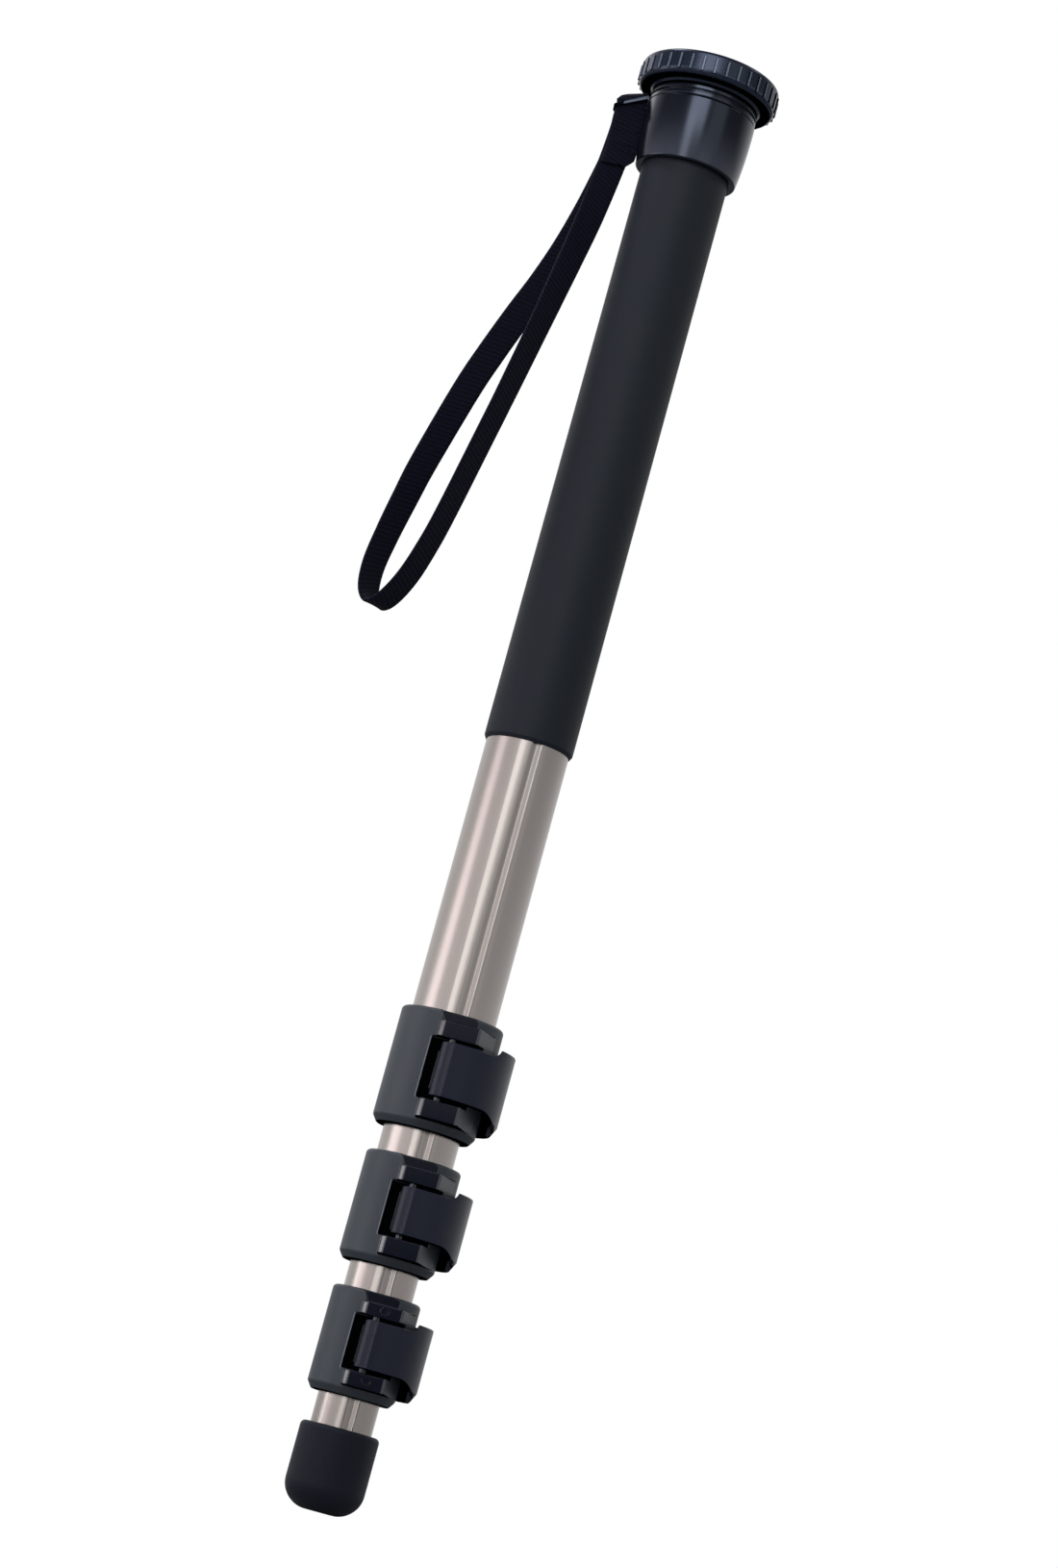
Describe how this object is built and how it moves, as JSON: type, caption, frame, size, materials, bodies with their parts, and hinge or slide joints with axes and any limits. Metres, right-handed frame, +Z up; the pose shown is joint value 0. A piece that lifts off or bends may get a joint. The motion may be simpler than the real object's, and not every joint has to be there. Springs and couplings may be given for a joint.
{
  "type": "camera monopod",
  "caption": "Folding camera monopod with telescoping tubes, flip-lever locks, a rubber grip, a turning platform with a camera screw, a wrist strap and a rubber foot.",
  "frame": {"origin": "ground contact in the middle of the rubber foot's underside, on the shaft's axis", "axes": "+Z up the shaft to the camera platform, +X to the side of the lock levers' tabs, -X to the wrist strap, -Y to the front with the key grooves"},
  "size_m": [0.0942, 0.049, 0.5058],
  "materials": {
    "tube_metal": "satin anodised, champagne",
    "head_metal": "satin black coating",
    "platform_plastic": "moulded, fine grain",
    "pad_rubber": "matte",
    "lock_plastic": "moulded, satin",
    "lever_plastic": "moulded, satin",
    "slip_plastic": "plain, waxy",
    "steel": "plain",
    "grip_rubber": "matte",
    "foot_rubber": "matte",
    "webbing": "woven"
  },
  "bodies": {
    "foot_section": {"foot_tube": "tube_metal", "foot_tube_guide": "slip_plastic", "foot_plug": "slip_plastic", "rubber_foot": "foot_rubber"},
    "third_section": {"third_tube": "tube_metal", "third_tube_guide": "slip_plastic", "lower_lock_body": "lock_plastic", "lower_lock_pin": "steel", "lower_lock_liner": "slip_plastic", "lower_lock_screw": "steel"},
    "second_section": {"second_tube": "tube_metal", "second_tube_guide": "slip_plastic", "middle_lock_body": "lock_plastic", "middle_lock_pin": "steel", "middle_lock_liner": "slip_plastic", "middle_lock_screw": "steel"},
    "upper_section": {"upper_tube": "tube_metal", "grip_sleeve": "grip_rubber", "head_collar": "head_metal", "strap_ring": "head_metal", "neck_cap": "head_metal", "neck_cap_screws": "steel", "thrust_washer": "slip_plastic", "spring_washer": "steel", "wrist_strap": "webbing", "upper_lock_body": "lock_plastic", "upper_lock_pin": "steel", "upper_lock_liner": "slip_plastic", "upper_lock_screw": "steel"},
    "platform": {"platform_disc": "platform_plastic", "platform_pad": "pad_rubber", "camera_screw": "steel", "spindle": "steel", "circlip": "steel"},
    "upper_lever": {"upper_lock_lever": "lever_plastic"},
    "upper_shoe": {"upper_lock_shoe": "slip_plastic"},
    "middle_lever": {"middle_lock_lever": "lever_plastic"},
    "middle_shoe": {"middle_lock_shoe": "slip_plastic"},
    "lower_lever": {"lower_lock_lever": "lever_plastic"},
    "lower_shoe": {"lower_lock_shoe": "slip_plastic"}
  },
  "joints": [
    {"name": "lower_leg_slide", "type": "slide", "parent": "foot_section", "child": "third_section", "axis": [0, 0, 1], "range_m": [0, 0.376]},
    {"name": "middle_leg_slide", "type": "slide", "parent": "third_section", "child": "second_section", "axis": [0, 0, 1], "range_m": [0, 0.332]},
    {"name": "upper_leg_slide", "type": "slide", "parent": "second_section", "child": "upper_section", "axis": [0, 0, 1], "range_m": [0, 0.286]},
    {"name": "platform_spin", "type": "hinge", "parent": "upper_section", "child": "platform", "pos_m": [0, 0, 0.4902], "axis": [0, 0, 1], "continuous": true},
    {"name": "upper_lever_swing", "type": "hinge", "parent": "upper_section", "child": "upper_lever", "pos_m": [0.0017, -0.01878, 0.14425], "axis": [0, 0, -1], "range_deg": [0, 110]},
    {"name": "upper_shoe_slide", "type": "slide", "parent": "upper_section", "child": "upper_shoe", "axis": [0, -1, 0], "range_m": [0, 0.00036]},
    {"name": "middle_lever_swing", "type": "hinge", "parent": "second_section", "child": "middle_lever", "pos_m": [0.0017, -0.01748, 0.09775], "axis": [0, 0, -1], "range_deg": [0, 110]},
    {"name": "middle_shoe_slide", "type": "slide", "parent": "second_section", "child": "middle_shoe", "axis": [0, -1, 0], "range_m": [0, 0.00036]},
    {"name": "lower_lever_swing", "type": "hinge", "parent": "third_section", "child": "lower_lever", "pos_m": [0.0017, -0.01618, 0.05425], "axis": [0, 0, -1], "range_deg": [0, 110]},
    {"name": "lower_shoe_slide", "type": "slide", "parent": "third_section", "child": "lower_shoe", "axis": [0, -1, 0], "range_m": [0, 0.00036]}
  ],
  "couplings": [
    {"joint": "upper_shoe_slide", "follows": "upper_lever_swing", "m_per_rad": 0.0001823},
    {"joint": "middle_shoe_slide", "follows": "middle_lever_swing", "m_per_rad": 0.0001823},
    {"joint": "lower_shoe_slide", "follows": "lower_lever_swing", "m_per_rad": 0.0001823}
  ]
}
